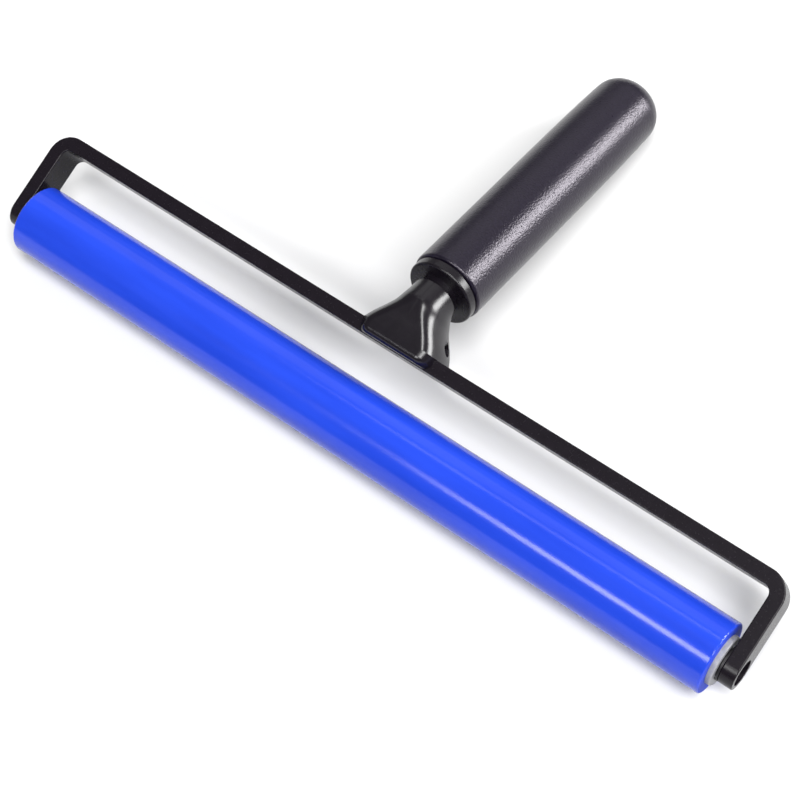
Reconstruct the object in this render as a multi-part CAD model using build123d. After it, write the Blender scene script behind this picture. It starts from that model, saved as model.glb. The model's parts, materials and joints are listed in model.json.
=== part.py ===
from build123d import *
from math import asin, atan2, cos, degrees, hypot, radians, sin
import os

# A 12 inch brayer: a silicone roller on a fixed axle, in a flat U frame, with a plastic bracket and grip.
#
# All lengths are millimetres. Every piece is drawn in the frame's own plane: X runs along the roller,
# Y from the roller's axis towards the handle, and Z square to the U. The last section tips the
# assembly to the way it lies on a table, on the roller and the end of the grip, with the origin under
# the middle of its bounding box.

# ---------------------------------------------------------------- driving dimensions
fit_gap = 0.02                  # radial gap of a seated, fixed fit
thread_gap = 0.05               # radial gap left round a plain shank that stands in for a thread

# Roller
roller_length = 305.0
roller_radius = 13.5
sleeve_bore_radius = 9.3
sleeve_edge_radius = 0.7
tube_wall = 1.2

# U frame: a flat bar on edge, bent twice
frame_width = 322.0
frame_back = 33.5               # roller axis to the bar's back face
bar_thickness = 5.5
bar_height = 13.3
inner_bend_radius = 3.2
bar_edge_radius = 0.45
arm_recess_radius = 4.9
arm_recess_depth = 3.8

# Axle and its screws
axle_radius = 2.99
screw_radius = 2.0              # M4
screw_hole_radius = 2.15
axle_screw_reach = 13.0
axle_tap_depth = 16.0
button_head_radius = 3.8
button_head_height = 2.2
axle_washer_radius = 4.5
axle_washer_thickness = 0.5
button_rim_height = 0.6
button_shoulder_height = 1.5
button_shoulder_inset = 0.7
screw_point = 0.4               # chamfer at a screw's end
hex_socket_width = 2.5          # across the flats
hex_socket_depth = 1.4

# Ball bearing, 6 x 13 x 5
bearing_bore_radius = 3.0
bearing_outer_radius = 6.5
bearing_width = 5.0
bearing_recess = 0.4            # below the end cap's face
inner_ring_radius = 4.0
outer_ring_bore_radius = 5.5
ball_radius = 1.0
ball_count = 9
pitch_radius = 4.75
race_radius = 1.05
cage_inner_radius = 4.3
cage_outer_radius = 5.2
cage_width = 3.0
seal_inner_radius = 4.2
seal_thickness = 0.4
seal_inset = 0.1

# End caps and spacers
cap_stand_out = 1.9
cap_depth = 12.0
cap_bore_radius = 5.0
cap_chamfer = 0.4
spacer_flange_radius = 6.7
spacer_flange_thickness = 0.75
spacer_nose_radius = 3.8

# Handle axis: it starts at the bar's back face and droops away from the frame's plane
handle_tilt = 28.6
handle_start_height = 10.0
collar_start = 23.9             # distances along the handle axis
collar_radius = 13.4
collar_length = 3.3
collar_edge_radius = 0.8
groove_length = 0.7
groove_radius = 12.6
grip_radius = 14.15
grip_edge_radius = 1.0
grip_taper_start = 105.0
grip_dome_start = 138.8
grip_dome_radius = 13.6
grip_end = 149.2
grip_cavity_radius = 6.0
grip_cavity_end = 135.0
spigot_radius = 8.0
spigot_length = 72.0
spigot_bore_radius = 4.5
spigot_bore_start = 33.0

# Bracket: a fan with a lip over the bar, narrowing to a round neck in line with the grip
bracket_top = 11.8              # above the middle of the bar
bracket_bottom = 7.6            # below the middle of the bar
bracket_half_width = 17.8
bracket_top_flat = 10.4         # half width of the flat top, before it rounds off to the sides
bracket_bottom_flat = 12.5
bracket_mid_share = 0.24        # how far up its height the bracket is widest, at the bar
bracket_sections = 16
lip_front = 28.3
lip_half_width = 15.6           # at its squared-off ends
lip_taper = 1.3                 # the lip's section loses this much of its half width towards the front
lip_corner_radius = 2.5
lip_edge_radius = 2.6
neck_radius = 9.0
neck_end = 21.15                # along the handle axis, a little before the collar
neck_chamfer = 0.4
parting_groove = 0.12           # half width and depth of the mould line along the top

# Countersunk M3 screw through the bar, held by a cross dowel in the bracket
bar_screw_radius = 1.5
bar_screw_hole_radius = 1.65
bar_screw_length = 14.0
bar_screw_head_radius = 2.9
bar_screw_socket_width = 2.0
bar_screw_socket_depth = 1.2
dowel_radius = 2.25
dowel_length = 26.0
dowel_behind_bar = 5.5
dowel_chamfer = 0.3
dowel_slot_width = 0.9
dowel_slot_depth = 1.1

# ---------------------------------------------------------------- derived dimensions
half_width = frame_width / 2
arm_inner = half_width - bar_thickness
bar_front = frame_back - bar_thickness
roller_end = roller_length / 2
tube_bore_radius = sleeve_bore_radius - tube_wall
cap_face = roller_end + cap_stand_out
bearing_out = cap_face - bearing_recess
bearing_in = bearing_out - bearing_width
bearing_mid = (bearing_in + bearing_out) / 2
web_face = half_width - arm_recess_depth
dowel_y = frame_back + dowel_behind_bar
grip_start = collar_start + collar_length + groove_length
spigot_end = collar_start + spigot_length

SIDES = {"left": -1, "right": 1}
parts = {}


# ---------------------------------------------------------------- shared helpers
def turned(*corners):
    """Solid of revolution about X through (x, radius) corners."""
    return revolve(Polygon(*corners, align=None), Axis.X)


def ring(start, end, inner, outer):
    """Plain ring about X between two stations."""
    return turned((start, inner), (end, inner), (end, outer), (start, outer))


def rod(start, end, radius):
    """Plain cylinder about X between two stations."""
    return turned((start, 0), (end, 0), (end, radius), (start, radius))


def on_side(solid, side):
    """The solid as drawn on the +X side, or its mirror image on the -X side."""
    return solid if side > 0 else mirror(solid, Plane.YZ)


def along_y(solid):
    """Turn a solid drawn along X so that it runs along Y."""
    return Rot(Z=90) * solid


def handle_frame():
    """Location whose Y axis is the handle's axis, from the bar's back face."""
    return Pos(0, frame_back, handle_start_height) * Rot(X=-handle_tilt)


# ---------------------------------------------------------------- U frame
def make_frame_bar():
    outer = Rectangle(frame_width, frame_back, align=(Align.CENTER, Align.MIN))
    outer = fillet(outer.vertices().group_by(Axis.Y)[-1], inner_bend_radius + bar_thickness)
    inner = Rectangle(2 * arm_inner, bar_front, align=(Align.CENTER, Align.MIN))
    inner = fillet(inner.vertices().group_by(Axis.Y)[-1], inner_bend_radius)
    bar = extrude(outer - inner, amount=bar_height / 2, both=True)
    for side in SIDES.values():
        bar += on_side(rod(arm_inner, half_width, bar_height / 2), side)
    long_edges = bar.edges().filter_by(lambda edge: abs(abs(edge.center().Z) - bar_height / 2) < 0.01)
    end_edges = bar.edges().filter_by(GeomType.CIRCLE).filter_by(lambda edge: edge.center().Y < 0)
    bar = fillet(long_edges + end_edges, bar_edge_radius)
    for side in SIDES.values():
        bar -= on_side(rod(arm_inner - 1, half_width + 1, screw_hole_radius), side)
        bar -= on_side(rod(web_face, half_width + 1, arm_recess_radius), side)
    countersink = turned(
        (bar_front - 1, 0),
        (bar_front - 1, bar_screw_head_radius + fit_gap),
        (bar_front, bar_screw_head_radius + fit_gap),
        (bar_front + bar_screw_head_radius - bar_screw_radius, bar_screw_radius + fit_gap),
        (frame_back + 1, bar_screw_radius + fit_gap),
        (frame_back + 1, 0),
    )
    return bar - along_y(countersink)


# ---------------------------------------------------------------- roller
def make_sleeve():
    sleeve = ring(-roller_end, roller_end, sleeve_bore_radius + fit_gap, roller_radius)
    rims = sleeve.edges().filter_by(GeomType.CIRCLE).sort_by(SortBy.RADIUS)[-2:]
    return fillet(rims, sleeve_edge_radius)


def make_core_tube():
    return ring(-roller_end, roller_end, tube_bore_radius, sleeve_bore_radius)


def make_end_cap():
    insert_radius = tube_bore_radius - fit_gap
    return turned(
        (roller_end - cap_depth, cap_bore_radius),
        (bearing_in, cap_bore_radius),
        (bearing_in, bearing_outer_radius + fit_gap),
        (cap_face, bearing_outer_radius + fit_gap),
        (cap_face, sleeve_bore_radius - cap_chamfer),
        (cap_face - cap_chamfer, sleeve_bore_radius),
        (roller_end, sleeve_bore_radius),
        (roller_end, insert_radius),
        (roller_end - cap_depth + 1, insert_radius),
        (roller_end - cap_depth, insert_radius - cap_chamfer),
    )


# ---------------------------------------------------------------- bearing
def ball_places():
    """Places on the pitch circle, evenly spaced, each with its Z axis pointing outwards."""
    for index in range(ball_count):
        turn = Rot(X=index * 360 / ball_count)
        yield Pos(bearing_mid, 0, 0) * turn * Pos(0, 0, pitch_radius)


def race_groove():
    return Pos(bearing_mid, 0, 0) * Rot(Y=90) * Torus(pitch_radius, race_radius)


def make_inner_ring():
    return ring(bearing_in, bearing_out, bearing_bore_radius, inner_ring_radius) - race_groove()


def make_outer_ring():
    return ring(bearing_in, bearing_out, outer_ring_bore_radius, bearing_outer_radius) - race_groove()


def make_seals():
    outer = outer_ring_bore_radius - fit_gap
    near, far = bearing_out - seal_inset, bearing_in + seal_inset
    return [
        ring(near - seal_thickness, near, seal_inner_radius, outer),
        ring(far, far + seal_thickness, seal_inner_radius, outer),
    ]


def make_balls():
    return [place * Sphere(ball_radius) for place in ball_places()]


def make_cage():
    half = cage_width / 2
    cage = ring(bearing_mid - half, bearing_mid + half, cage_inner_radius, cage_outer_radius)
    for place in ball_places():
        cage -= place * Cylinder(race_radius, 2 * ball_radius)
    return cage


# ---------------------------------------------------------------- axle, spacers and screws
def make_axle_rod():
    axle = rod(-arm_inner, arm_inner, axle_radius)
    for side in SIDES.values():
        axle -= on_side(rod(arm_inner - axle_tap_depth, arm_inner + 1, screw_radius + thread_gap), side)
    return axle


def make_spacer():
    flange_face = arm_inner - spacer_flange_thickness
    bore = bearing_bore_radius + fit_gap
    return turned(
        (bearing_out, bore),
        (arm_inner, bore),
        (arm_inner, spacer_flange_radius),
        (flange_face, spacer_flange_radius),
        (flange_face, spacer_nose_radius),
        (bearing_out, spacer_nose_radius),
    )


def make_axle_washer():
    return ring(web_face, web_face + axle_washer_thickness, screw_hole_radius, axle_washer_radius)


def make_axle_screw():
    seat = web_face + axle_washer_thickness
    tip = arm_inner - axle_screw_reach
    crown_radius = hex_socket_width / 2 + 0.7
    screw = turned(
        (tip, 0),
        (tip, screw_radius - screw_point),
        (tip + screw_point, screw_radius),
        (seat, screw_radius),
        (seat, button_head_radius),
        (seat + button_rim_height, button_head_radius),
        (seat + button_shoulder_height, button_head_radius - button_shoulder_inset),
        (seat + button_head_height, crown_radius),
        (seat + button_head_height, 0),
    )
    hexagon = RegularPolygon(hex_socket_width / 2, 6, major_radius=False)
    socket = Pos(seat + button_head_height, 0, 0) * Rot(Y=-90) * extrude(hexagon, amount=hex_socket_depth)
    return screw - socket


# ---------------------------------------------------------------- bracket and its fasteners
def on_neck(along, across):
    """Y and Z of a point in the middle plane, from its place along and across the handle's axis."""
    point = (handle_frame() * Pos(0, along, across)).position
    return point.Y, point.Z


def neck_row(along, radius):
    return on_neck(along, radius) + on_neck(along, -radius) + (radius, 0.5, 0.5, 0.50)


def bracket_rows():
    """Rows of top Y and Z, bottom Y and Z, half width, two half flats, and how high up the widest point is."""
    bar_face = (frame_back, bracket_top, frame_back, -bracket_bottom)
    return (
        bar_face + (bracket_half_width, bracket_top_flat, bracket_bottom_flat, bracket_mid_share),
        (37.2, 11.95, 37.0, -7.7, 15.9, 7.9, 11.0, 0.25),
        (41.0, 12.2, 40.5, -7.8, 13.35, 5.1, 9.0, 0.27),
        (44.8, 12.3, 43.4, -7.9, 11.2, 2.4, 6.0, 0.31),
        (48.2, 12.05, 45.4, -8.0, 10.1, 0.9, 3.0, 0.36),
        (51.2, 10.6, 46.5, -8.0, 9.4, 0.6, 1.4, 0.42),
        (53.8, 9.2, 47.2, -8.0, 9.1, 0.5, 0.7, 0.46),
        neck_row(neck_end - neck_chamfer, neck_radius),
    )


def blended_row(rows, place):
    """Catmull-Rom blend of the rows at a fractional place; the list goes on straight past its ends."""
    index = min(int(place), len(rows) - 2)
    part = place - index
    near, far = rows[index], rows[index + 1]
    before = rows[index - 1] if index > 0 else [2 * a - b for a, b in zip(near, far)]
    after = rows[index + 2] if index + 2 < len(rows) else [2 * b - a for a, b in zip(near, far)]
    row = []
    for v0, v1, v2, v3 in zip(before, near, far, after):
        slope = v2 - v0
        curve = 2 * v0 - 5 * v1 + 4 * v2 - v3
        turn = 3 * (v1 - v2) + v3 - v0
        row.append(v1 + 0.5 * part * (slope + part * (curve + part * turn)))
    return row


def bracket_section(top_y, top_z, bottom_y, bottom_z, half_width, top_flat, bottom_flat, mid_share):
    """Closed face with a flat top and bottom and elliptical quarters between them and the sides."""
    height = hypot(top_y - bottom_y, top_z - bottom_z)
    lean_y, lean_z = (top_y - bottom_y) / height, (top_z - bottom_z) / height
    up, down = (1 - mid_share) * height, mid_share * height
    outline = [
        EllipticalCenterArc((top_flat, 0), half_width - top_flat, up, 0, arc_size=90),
        Line((top_flat, up), (-top_flat, up)),
        EllipticalCenterArc((-top_flat, 0), half_width - top_flat, up, 90, arc_size=90),
        EllipticalCenterArc((-bottom_flat, 0), half_width - bottom_flat, down, 180, arc_size=90),
        Line((-bottom_flat, -down), (bottom_flat, -down)),
        EllipticalCenterArc((bottom_flat, 0), half_width - bottom_flat, down, 270, arc_size=90),
    ]
    middle = (0, bottom_y + down * lean_y, bottom_z + down * lean_z)
    plane = Plane(origin=middle, x_dir=(1, 0, 0), z_dir=(0, -lean_z, lean_y))
    return plane * make_face(outline)


def make_lip():
    """The part of the bracket that covers the bar's top face, with squared-off ends and rounded corners."""
    top_y, top_z, bottom_y, bottom_z, half_width, *flats = bracket_rows()[0]
    back = bracket_section(top_y, top_z, bottom_y, bottom_z, half_width, *flats)
    front = bracket_section(lip_front, top_z, lip_front, bottom_z, half_width - lip_taper, *flats)
    lip = loft([front, back], ruled=True)
    lip = fillet(lip.faces().sort_by(Axis.Y)[0].edges(), lip_edge_radius)
    plan = Pos(0, lip_front) * Rectangle(2 * lip_half_width, 20, align=(Align.CENTER, Align.MIN))
    plan = fillet(plan.vertices().group_by(Axis.Y)[0], lip_corner_radius)
    return lip & extrude(Pos(0, 0, bar_height / 2 + fit_gap) * plan, amount=2 * bracket_top)


def make_parting_groove():
    """Slab that follows the bracket's top in the middle plane, to be cut away."""
    line = Spline([(row[0], row[1] - parting_groove) for row in bracket_rows()])
    start, end = line @ 0, line @ 1
    face = make_face([
        line,
        Line(end, (end.X, end.Y + 2)),
        Line((end.X, end.Y + 2), (end.X, bracket_top + 2)),
        Line((end.X, bracket_top + 2), (start.X, bracket_top + 2)),
        Line((start.X, bracket_top + 2), start),
    ])
    return extrude(Plane.YZ * face, amount=parting_groove, both=True)


def make_bracket():
    rows = bracket_rows()
    last = len(rows) - 1
    places = [last * index / (bracket_sections - 1) for index in range(bracket_sections)]
    bracket = loft([bracket_section(*blended_row(rows, place)) for place in places]) + make_lip()
    bracket += loft([
        bracket_section(*rows[-1]), bracket_section(*neck_row(neck_end, neck_radius - neck_chamfer))
    ], ruled=True)
    bracket += handle_frame() * along_y(rod(neck_end - 1, spigot_end, spigot_radius))
    bracket -= handle_frame() * along_y(rod(spigot_bore_start, spigot_end + 1, spigot_bore_radius))
    bracket -= along_y(rod(frame_back - 1, dowel_y + 9, bar_screw_hole_radius))
    bracket -= Pos(0, dowel_y, 0) * rod(-30, 30, dowel_radius + fit_gap)
    return bracket - make_parting_groove()


def make_cross_dowel():
    half = dowel_length / 2
    dowel = chamfer(rod(-half, half, dowel_radius).edges().filter_by(GeomType.CIRCLE), dowel_chamfer)
    dowel -= along_y(rod(-2 * dowel_radius, 2 * dowel_radius, bar_screw_radius + thread_gap))
    for side in SIDES.values():
        dowel -= Pos(side * half, 0, 0) * Box(2 * dowel_slot_depth, dowel_slot_width, 3 * dowel_radius)
    return Pos(0, dowel_y, 0) * dowel


def make_bar_screw():
    tip = bar_front + bar_screw_length
    screw = turned(
        (bar_front, 0),
        (bar_front, bar_screw_head_radius),
        (bar_front + bar_screw_head_radius - bar_screw_radius, bar_screw_radius),
        (tip - screw_point, bar_screw_radius),
        (tip, bar_screw_radius - screw_point),
        (tip, 0),
    )
    hexagon = RegularPolygon(bar_screw_socket_width / 2, 6, major_radius=False)
    socket = Pos(bar_front, 0, 0) * Rot(Y=90) * extrude(hexagon, amount=bar_screw_socket_depth)
    return along_y(screw - socket)


# ---------------------------------------------------------------- collar and grip
def make_collar():
    bore = spigot_radius + fit_gap
    rim_end = collar_start + collar_length
    collar = turned(
        (collar_start, bore),
        (grip_start, bore),
        (grip_start, groove_radius),
        (rim_end, groove_radius),
        (rim_end, collar_radius),
        (collar_start, collar_radius),
    )
    rims = collar.edges().filter_by(GeomType.CIRCLE).filter_by(
        lambda edge: abs(edge.radius - collar_radius) < 0.01
    )
    front_rim = rims.sort_by(Axis.X)[0]
    return handle_frame() * along_y(fillet(front_rim, collar_edge_radius))


def make_grip():
    bore = spigot_radius + fit_gap
    shoulder = spigot_end + 1
    taper_length = grip_dome_start - grip_taper_start
    end_slope = 2 * (grip_radius - grip_dome_radius) / taper_length
    quarter = 0.5523                # handle of a Bezier curve that is close to a quarter ellipse
    lead = quarter * (grip_end - grip_dome_start)
    arc_centre = (grip_start + grip_edge_radius, grip_radius - grip_edge_radius)
    front_arc = CenterArc(arc_centre, grip_edge_radius, 90, 90)
    taper = Bezier(
        (grip_taper_start, grip_radius),
        (grip_taper_start + taper_length / 2, grip_radius),
        (grip_dome_start, grip_dome_radius),
    )
    dome = Bezier(
        (grip_dome_start, grip_dome_radius),
        (grip_dome_start + lead, grip_dome_radius - end_slope * lead),
        (grip_end, quarter * grip_dome_radius),
        (grip_end, 0),
    )
    outline = [
        Line((grip_start, bore), (grip_start, grip_radius - grip_edge_radius)),
        front_arc,
        Line((grip_start + grip_edge_radius, grip_radius), (grip_taper_start, grip_radius)),
        taper,
        dome,
        Line((grip_end, 0), (grip_cavity_end, 0)),
        Line((grip_cavity_end, 0), (grip_cavity_end, grip_cavity_radius)),
        Line((grip_cavity_end, grip_cavity_radius), (shoulder, grip_cavity_radius)),
        Line((shoulder, grip_cavity_radius), (shoulder, bore)),
        Line((shoulder, bore), (grip_start, bore)),
    ]
    return handle_frame() * along_y(revolve(make_face(outline), Axis.X))


# ---------------------------------------------------------------- assembly
parts["frame_bar"] = make_frame_bar()
parts["roller_sleeve"] = make_sleeve()
parts["core_tube"] = make_core_tube()
parts["axle_rod"] = make_axle_rod()
for side_name, side in SIDES.items():
    parts["end_cap_" + side_name] = on_side(make_end_cap(), side)
    parts["bearing_outer_ring_" + side_name] = on_side(make_outer_ring(), side)
    parts["bearing_inner_ring_" + side_name] = on_side(make_inner_ring(), side)
    parts["bearing_seals_" + side_name] = [on_side(seal, side) for seal in make_seals()]
    parts["bearing_balls_" + side_name] = [on_side(ball, side) for ball in make_balls()]
    parts["bearing_cage_" + side_name] = on_side(make_cage(), side)
    parts["axle_spacer_" + side_name] = on_side(make_spacer(), side)
parts["axle_washers"] = [on_side(make_axle_washer(), side) for side in SIDES.values()]
parts["axle_screws"] = [on_side(make_axle_screw(), side) for side in SIDES.values()]
parts["bracket"] = make_bracket()
parts["bar_screw"] = make_bar_screw()
parts["cross_dowel"] = make_cross_dowel()
parts["grip_collar"] = make_collar()
parts["grip"] = make_grip()


# ---------------------------------------------------------------- the way it lies on a table
def rest_pitch():
    """Tilt about X, in degrees, that brings the dome of the grip as low as the roller."""
    dome_centre = (handle_frame() * Pos(0, grip_dome_start, 0)).position
    reach = hypot(dome_centre.Y, dome_centre.Z)
    droop = atan2(-dome_centre.Z, dome_centre.Y)
    dome_depth = grip_end - grip_dome_start
    pitch = droop
    for _ in range(5):
        lean = radians(handle_tilt) - pitch
        dome_support = hypot(dome_depth * sin(lean), grip_dome_radius * cos(lean))
        pitch = droop - asin((roller_radius - dome_support) / reach)
    return degrees(pitch)


tipped = Pos(0, 0, roller_radius) * Rot(X=rest_pitch())
whole = Compound(children=[tipped * parts[name] for name in ("frame_bar", "roller_sleeve", "grip")])
bounds = whole.bounding_box()
to_rest = Pos(0, -(bounds.min.Y + bounds.max.Y) / 2, 0) * tipped

os.makedirs("parts", exist_ok=True)
for name, shape in parts.items():
    solids = shape if isinstance(shape, list) else [shape]
    placed = [to_rest * solid for solid in solids]
    node = placed[0] if len(placed) == 1 else Compound(children=placed)
    export_step(node, os.path.join("parts", name + ".step"))
print("rest pitch %.3f degrees, origin shifted by %.3f mm along Y" % (rest_pitch(), to_rest.position.Y))
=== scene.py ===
import json
import math

import bpy
from mathutils import Matrix, Vector

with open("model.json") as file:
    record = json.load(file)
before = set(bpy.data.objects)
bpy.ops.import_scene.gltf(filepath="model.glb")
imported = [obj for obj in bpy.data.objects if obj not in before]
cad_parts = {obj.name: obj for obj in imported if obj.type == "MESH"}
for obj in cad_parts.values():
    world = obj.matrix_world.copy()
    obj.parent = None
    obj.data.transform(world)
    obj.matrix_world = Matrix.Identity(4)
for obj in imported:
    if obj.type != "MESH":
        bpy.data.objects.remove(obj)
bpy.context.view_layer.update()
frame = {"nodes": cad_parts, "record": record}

# A 12 inch brayer lying on a white table, on its roller and the end of its grip. Lengths are metres.
# Every piece is a CAD node as it stands: this script adds materials, the table, the camera and the light.
nodes = frame["nodes"]

FLOOR_SIZE = 8
FLOOR_GREY = 0.59

CAMERA_PLACE = Vector((0.26892, -0.32166, 0.64035))
CAMERA_AIM = Vector((0.01059, -0.06723, 0.020))
CAMERA_ROLL = math.radians(8.895)
CAMERA_LENS = 92.73             # millimetres, like the sensor
SENSOR_WIDTH = 36

LIGHT_TARGET = Vector((0, 0, 0.02))     # under the middle of the object's height
ROOM_FRONT = 0.10               # greys of the dim room round the softboxes
ROOM_BACK = 0.20


# ---------------------------------------------------------------- material helpers
def new_material(name):
    """A new node material, with its node tree and its Principled shader."""
    material = bpy.data.materials.new(name)
    material.use_nodes = True
    tree = material.node_tree
    shader = tree.nodes["Principled BSDF"]
    return material, tree, shader


def settings(shader, **values):
    """Sets shader sockets by name: underscores stand for spaces."""
    for key, value in values.items():
        shader.inputs[key.replace("_", " ")].default_value = value


def object_point(tree):
    """The point in the object's own frame, in metres."""
    return tree.nodes.new("ShaderNodeTexCoord").outputs["Object"]


def stretched(tree, point, scale):
    """The point scaled by a different factor on each axis."""
    mapping = tree.nodes.new("ShaderNodeMapping")
    mapping.inputs["Scale"].default_value = scale
    tree.links.new(point, mapping.inputs["Vector"])
    return mapping.outputs["Vector"]


def noise(tree, point, scale, detail, roughness=0.5):
    """Noise between 0 and 1, its scale in features per metre."""
    node = tree.nodes.new("ShaderNodeTexNoise")
    node.inputs["Scale"].default_value = scale
    node.inputs["Detail"].default_value = detail
    node.inputs["Roughness"].default_value = roughness
    tree.links.new(point, node.inputs["Vector"])
    return node.outputs["Fac"]


def ramp(tree, value, first, last):
    """Colour ramp between two (position, colour) stops; a number is taken as a grey."""
    node = tree.nodes.new("ShaderNodeValToRGB")
    for element, (position, colour) in zip(node.color_ramp.elements, (first, last)):
        element.position = position
        element.color = (*colour, 1) if isinstance(colour, tuple) else (colour, colour, colour, 1)
    tree.links.new(value, node.inputs["Fac"])
    return node.outputs["Color"]


def spread(tree, value, low, high):
    """Maps 0..1 to low..high."""
    node = tree.nodes.new("ShaderNodeMapRange")
    node.inputs["To Min"].default_value = low
    node.inputs["To Max"].default_value = high
    tree.links.new(value, node.inputs["Value"])
    return node.outputs["Result"]


def facing_x(tree, start, full):
    """How squarely the surface faces along the object's own X: 0 up to start, 1 from full on."""
    parts = tree.nodes.new("ShaderNodeSeparateXYZ")
    tree.links.new(tree.nodes.new("ShaderNodeTexCoord").outputs["Normal"], parts.inputs["Vector"])
    size = tree.nodes.new("ShaderNodeMath")
    size.operation = "ABSOLUTE"
    tree.links.new(parts.outputs["X"], size.inputs[0])
    share = tree.nodes.new("ShaderNodeMapRange")
    share.inputs["From Min"].default_value = start
    share.inputs["From Max"].default_value = full
    tree.links.new(size.outputs["Value"], share.inputs["Value"])
    return share.outputs["Result"]


def added(tree, first, second):
    """The sum of two values."""
    node = tree.nodes.new("ShaderNodeMath")
    node.operation = "ADD"
    tree.links.new(first, node.inputs[0])
    tree.links.new(second, node.inputs[1])
    return node.outputs["Value"]


def set_colour(tree, shader, pattern, first, last):
    """Colours the surface by a pattern, between two (position, colour) stops."""
    tree.links.new(ramp(tree, pattern, first, last), shader.inputs["Base Color"])


def set_roughness(tree, shader, pattern, low, high):
    """Varies the roughness by a pattern, from low to high."""
    tree.links.new(spread(tree, pattern, low, high), shader.inputs["Roughness"])


def set_bump(tree, shader, height, distance):
    """Bumps the surface by a pattern, with that depth in metres."""
    node = tree.nodes.new("ShaderNodeBump")
    node.inputs["Strength"].default_value = 1.0
    node.inputs["Distance"].default_value = distance
    tree.links.new(height, node.inputs["Height"])
    tree.links.new(node.outputs["Normal"], shader.inputs["Normal"])


# ---------------------------------------------------------------- materials
def silicone_blue():
    """Cast silicone: glossy, with a faint cloudiness and soft orange peel. Its cut ends are matt."""
    material, tree, shader = new_material("silicone_blue")
    point = object_point(tree)
    cloud = noise(tree, stretched(tree, point, (0.12, 1, 1)), 150, 3)
    set_colour(tree, shader, cloud, (0.3, (0.0095, 0.0385, 0.43)), (0.7, (0.0135, 0.049, 0.51)))
    skin = spread(tree, noise(tree, point, 220, 3), 0.14, 0.20)
    cut = spread(tree, facing_x(tree, 0.75, 0.98), 0.0, 0.5)
    tree.links.new(added(tree, skin, cut), shader.inputs["Roughness"])
    settings(shader, IOR=1.40)
    set_bump(tree, shader, noise(tree, point, 420, 2), 0.000012)
    return material


def anodised_black():
    """Bead-blasted, black anodised bar: satin, with a very fine grain."""
    material, tree, shader = new_material("anodised_black")
    point = object_point(tree)
    patches = noise(tree, point, 300, 4)
    set_colour(tree, shader, patches, (0.3, (0.0058, 0.0043, 0.0066)), (0.7, (0.0072, 0.0054, 0.0082)))
    set_roughness(tree, shader, noise(tree, point, 900, 3), 0.23, 0.30)
    settings(shader, IOR=1.29)
    set_bump(tree, shader, noise(tree, point, 5200, 1), 0.000006)
    return material


def moulded_black(name, roughness, grain, ior):
    """Smooth moulded plastic with a slight waviness."""
    material, tree, shader = new_material(name)
    point = object_point(tree)
    patches = noise(tree, point, 180, 3)
    set_colour(tree, shader, patches, (0.3, (0.0046, 0.0034, 0.0056)), (0.7, (0.0060, 0.0046, 0.0072)))
    set_roughness(tree, shader, noise(tree, point, 700, 3), roughness - 0.04, roughness + 0.04)
    settings(shader, IOR=ior)
    set_bump(tree, shader, noise(tree, point, grain, 2), 0.000010)
    return material


def grip_grain():
    """Spark-eroded mould texture: a fine sand grain all over the grip."""
    material, tree, shader = new_material("grip_grain")
    point = object_point(tree)
    grain = noise(tree, point, 1450, 1, 0.6)
    set_colour(tree, shader, grain, (0.35, (0.0036, 0.0024, 0.0070)), (0.7, (0.0074, 0.0054, 0.0130)))
    set_roughness(tree, shader, noise(tree, point, 1500, 2), 0.25, 0.33)
    settings(shader, IOR=1.5, Specular_Tint=(0.97, 0.91, 1.0, 1))
    set_bump(tree, shader, grain, 0.00013)
    return material


def cap_grey():
    """Light grey moulded end cap, finely grained."""
    material, tree, shader = new_material("cap_grey")
    point = object_point(tree)
    patches = noise(tree, point, 900, 3)
    set_colour(tree, shader, patches, (0.3, (0.19, 0.19, 0.21)), (0.7, (0.24, 0.24, 0.26)))
    set_roughness(tree, shader, noise(tree, point, 1200, 2), 0.34, 0.42)
    set_bump(tree, shader, noise(tree, point, 2600, 2), 0.00001)
    return material


def turned_metal(name, colour, roughness):
    """Machined metal with fine lathe lines round X."""
    material, tree, shader = new_material(name)
    lines = noise(tree, stretched(tree, object_point(tree), (12, 1, 1)), 900, 2)
    darker = tuple(0.8 * channel for channel in colour)
    set_colour(tree, shader, lines, (0.3, darker), (0.7, colour))
    set_roughness(tree, shader, lines, roughness - 0.06, roughness + 0.06)
    settings(shader, Metallic=1.0)
    set_bump(tree, shader, lines, 0.000008)
    return material


def seal_rubber():
    """Matt black nitrile rubber, a little dusty."""
    material, tree, shader = new_material("seal_rubber")
    point = object_point(tree)
    set_colour(tree, shader, noise(tree, point, 1500, 2), (0.3, 0.006), (0.7, 0.012))
    set_roughness(tree, shader, noise(tree, point, 800, 3), 0.52, 0.68)
    set_bump(tree, shader, noise(tree, point, 3000, 2), 0.000015)
    return material


SLOT_MATERIALS = {
    "frame_black": anodised_black(),
    "bracket_plastic": moulded_black("bracket_plastic", 0.24, 900, 1.46),
    "collar_plastic": moulded_black("collar_plastic", 0.28, 1400, 1.38),
    "spacer_plastic": moulded_black("spacer_plastic", 0.42, 1800, 1.42),
    "grip_plastic": grip_grain(),
    "roller_silicone": silicone_blue(),
    "cap_grey": cap_grey(),
    "core_aluminium": turned_metal("core_aluminium", (0.78, 0.78, 0.79), 0.32),
    "axle_steel": turned_metal("axle_steel", (0.55, 0.55, 0.56), 0.28),
    "fastener_steel": turned_metal("black_oxide", (0.09, 0.09, 0.10), 0.30),
    "bearing_steel": turned_metal("bearing_steel", (0.62, 0.62, 0.63), 0.22),
    "cage_steel": turned_metal("cage_steel", (0.50, 0.49, 0.46), 0.38),
    "seal_rubber": seal_rubber(),
}


def dress_nodes():
    """Gives each CAD node the material of its slot in the record."""
    for entry in frame["record"]["subparts"]:
        node = nodes[entry["node"]]
        node.data.materials.clear()
        node.data.materials.append(SLOT_MATERIALS[entry["material_slot"]])


dress_nodes()


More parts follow.
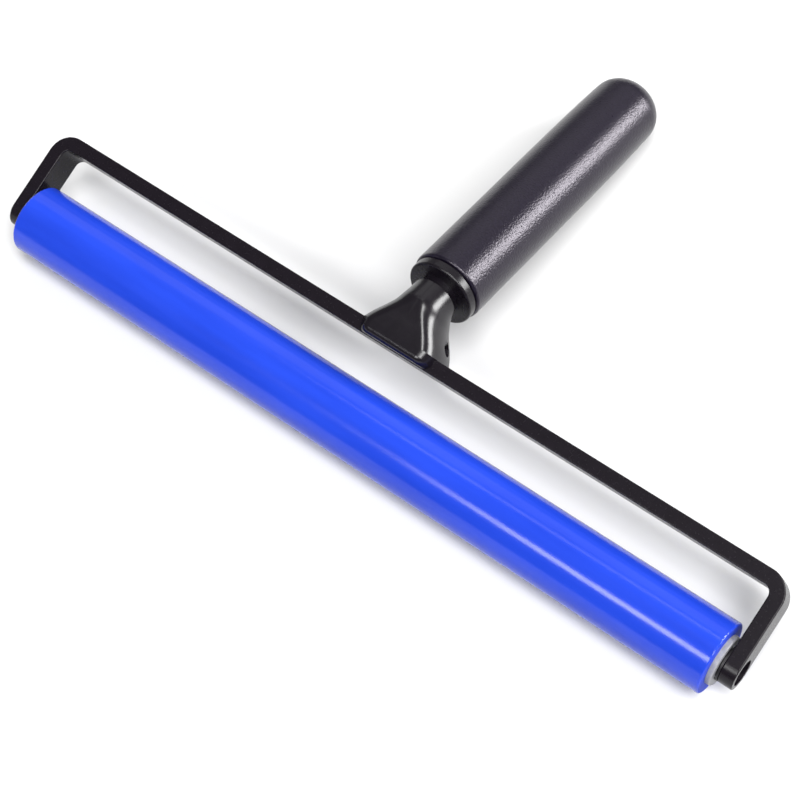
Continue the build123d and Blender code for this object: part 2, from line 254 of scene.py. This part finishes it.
# ---------------------------------------------------------------- table
def make_floor():
    """A matt white table top, which also lights the object from below."""
    bpy.ops.mesh.primitive_plane_add(size=FLOOR_SIZE, location=(0, 0, 0))
    floor = bpy.context.object
    floor.name = "floor"
    material, _, shader = new_material("floor_white")
    settings(
        shader,
        Base_Color=(FLOOR_GREY, FLOOR_GREY, FLOOR_GREY, 1),
        Roughness=0.9,
        Specular_IOR_Level=0.0,
    )
    floor.data.materials.append(material)


make_floor()


# ---------------------------------------------------------------- camera
def make_camera():
    """A long lens above the roller's right end, rolled a little to one side."""
    data = bpy.data.cameras.new("camera")
    data.lens = CAMERA_LENS
    data.sensor_width = SENSOR_WIDTH
    camera = bpy.data.objects.new("camera", data)
    level = (CAMERA_AIM - CAMERA_PLACE).to_track_quat("-Z", "Y").to_matrix().to_4x4()
    roll = Matrix.Rotation(-CAMERA_ROLL, 4, "Z")
    camera.matrix_world = Matrix.Translation(CAMERA_PLACE) @ level @ roll
    bpy.context.scene.collection.objects.link(camera)
    bpy.context.scene.camera = camera


make_camera()


# ---------------------------------------------------------------- light
def softbox(name, direction, distance, size, power):
    """A rectangular area light in that direction from the target, facing it."""
    data = bpy.data.lights.new(name, "AREA")
    data.shape = "RECTANGLE"
    data.size, data.size_y = size
    data.energy = power
    light = bpy.data.objects.new(name, data)
    light.location = LIGHT_TARGET + Vector(direction).normalized() * distance
    light.rotation_mode = "QUATERNION"
    light.rotation_quaternion = (LIGHT_TARGET - light.location).to_track_quat("-Z", "Y")
    bpy.context.scene.collection.objects.link(light)


def make_room():
    """A dim studio, a little lighter above and behind the object."""
    world = bpy.data.worlds.new("studio")
    world.use_nodes = True
    bpy.context.scene.world = world
    tree = world.node_tree
    background = tree.nodes["Background"]
    toward_back = tree.nodes.new("ShaderNodeVectorMath")
    toward_back.operation = "DOT_PRODUCT"
    toward_back.inputs[1].default_value = (0.0, 0.8, 0.6)
    tree.links.new(tree.nodes.new("ShaderNodeTexCoord").outputs["Generated"], toward_back.inputs[0])
    share = tree.nodes.new("ShaderNodeMapRange")
    share.inputs["From Min"].default_value = -1
    tree.links.new(toward_back.outputs["Value"], share.inputs["Value"])
    glow = ramp(tree, share.outputs["Result"], (0.2, ROOM_FRONT), (0.9, ROOM_BACK))
    tree.links.new(glow, background.inputs["Color"])
    background.inputs["Strength"].default_value = 1.0


make_room()
softbox("front_softbox", (-0.02, -0.65, 0.72), 4, (2.3, 0.86), 90)
softbox("overhead_softbox", (0.38, -0.15, 0.91), 10, (3.0, 8.8), 1440)
softbox("side_softbox", (0.69, 0.64, 0.34), 4, (1.5, 1.5), 165)
softbox("back_softbox", (-0.25, 0.72, 0.66), 4, (4.8, 1.9), 21)
softbox("back_strip", (-0.25, 0.37, 0.90), 4, (1.3, 0.32), 4.3)
bpy.context.scene.view_settings.view_transform = "Standard"
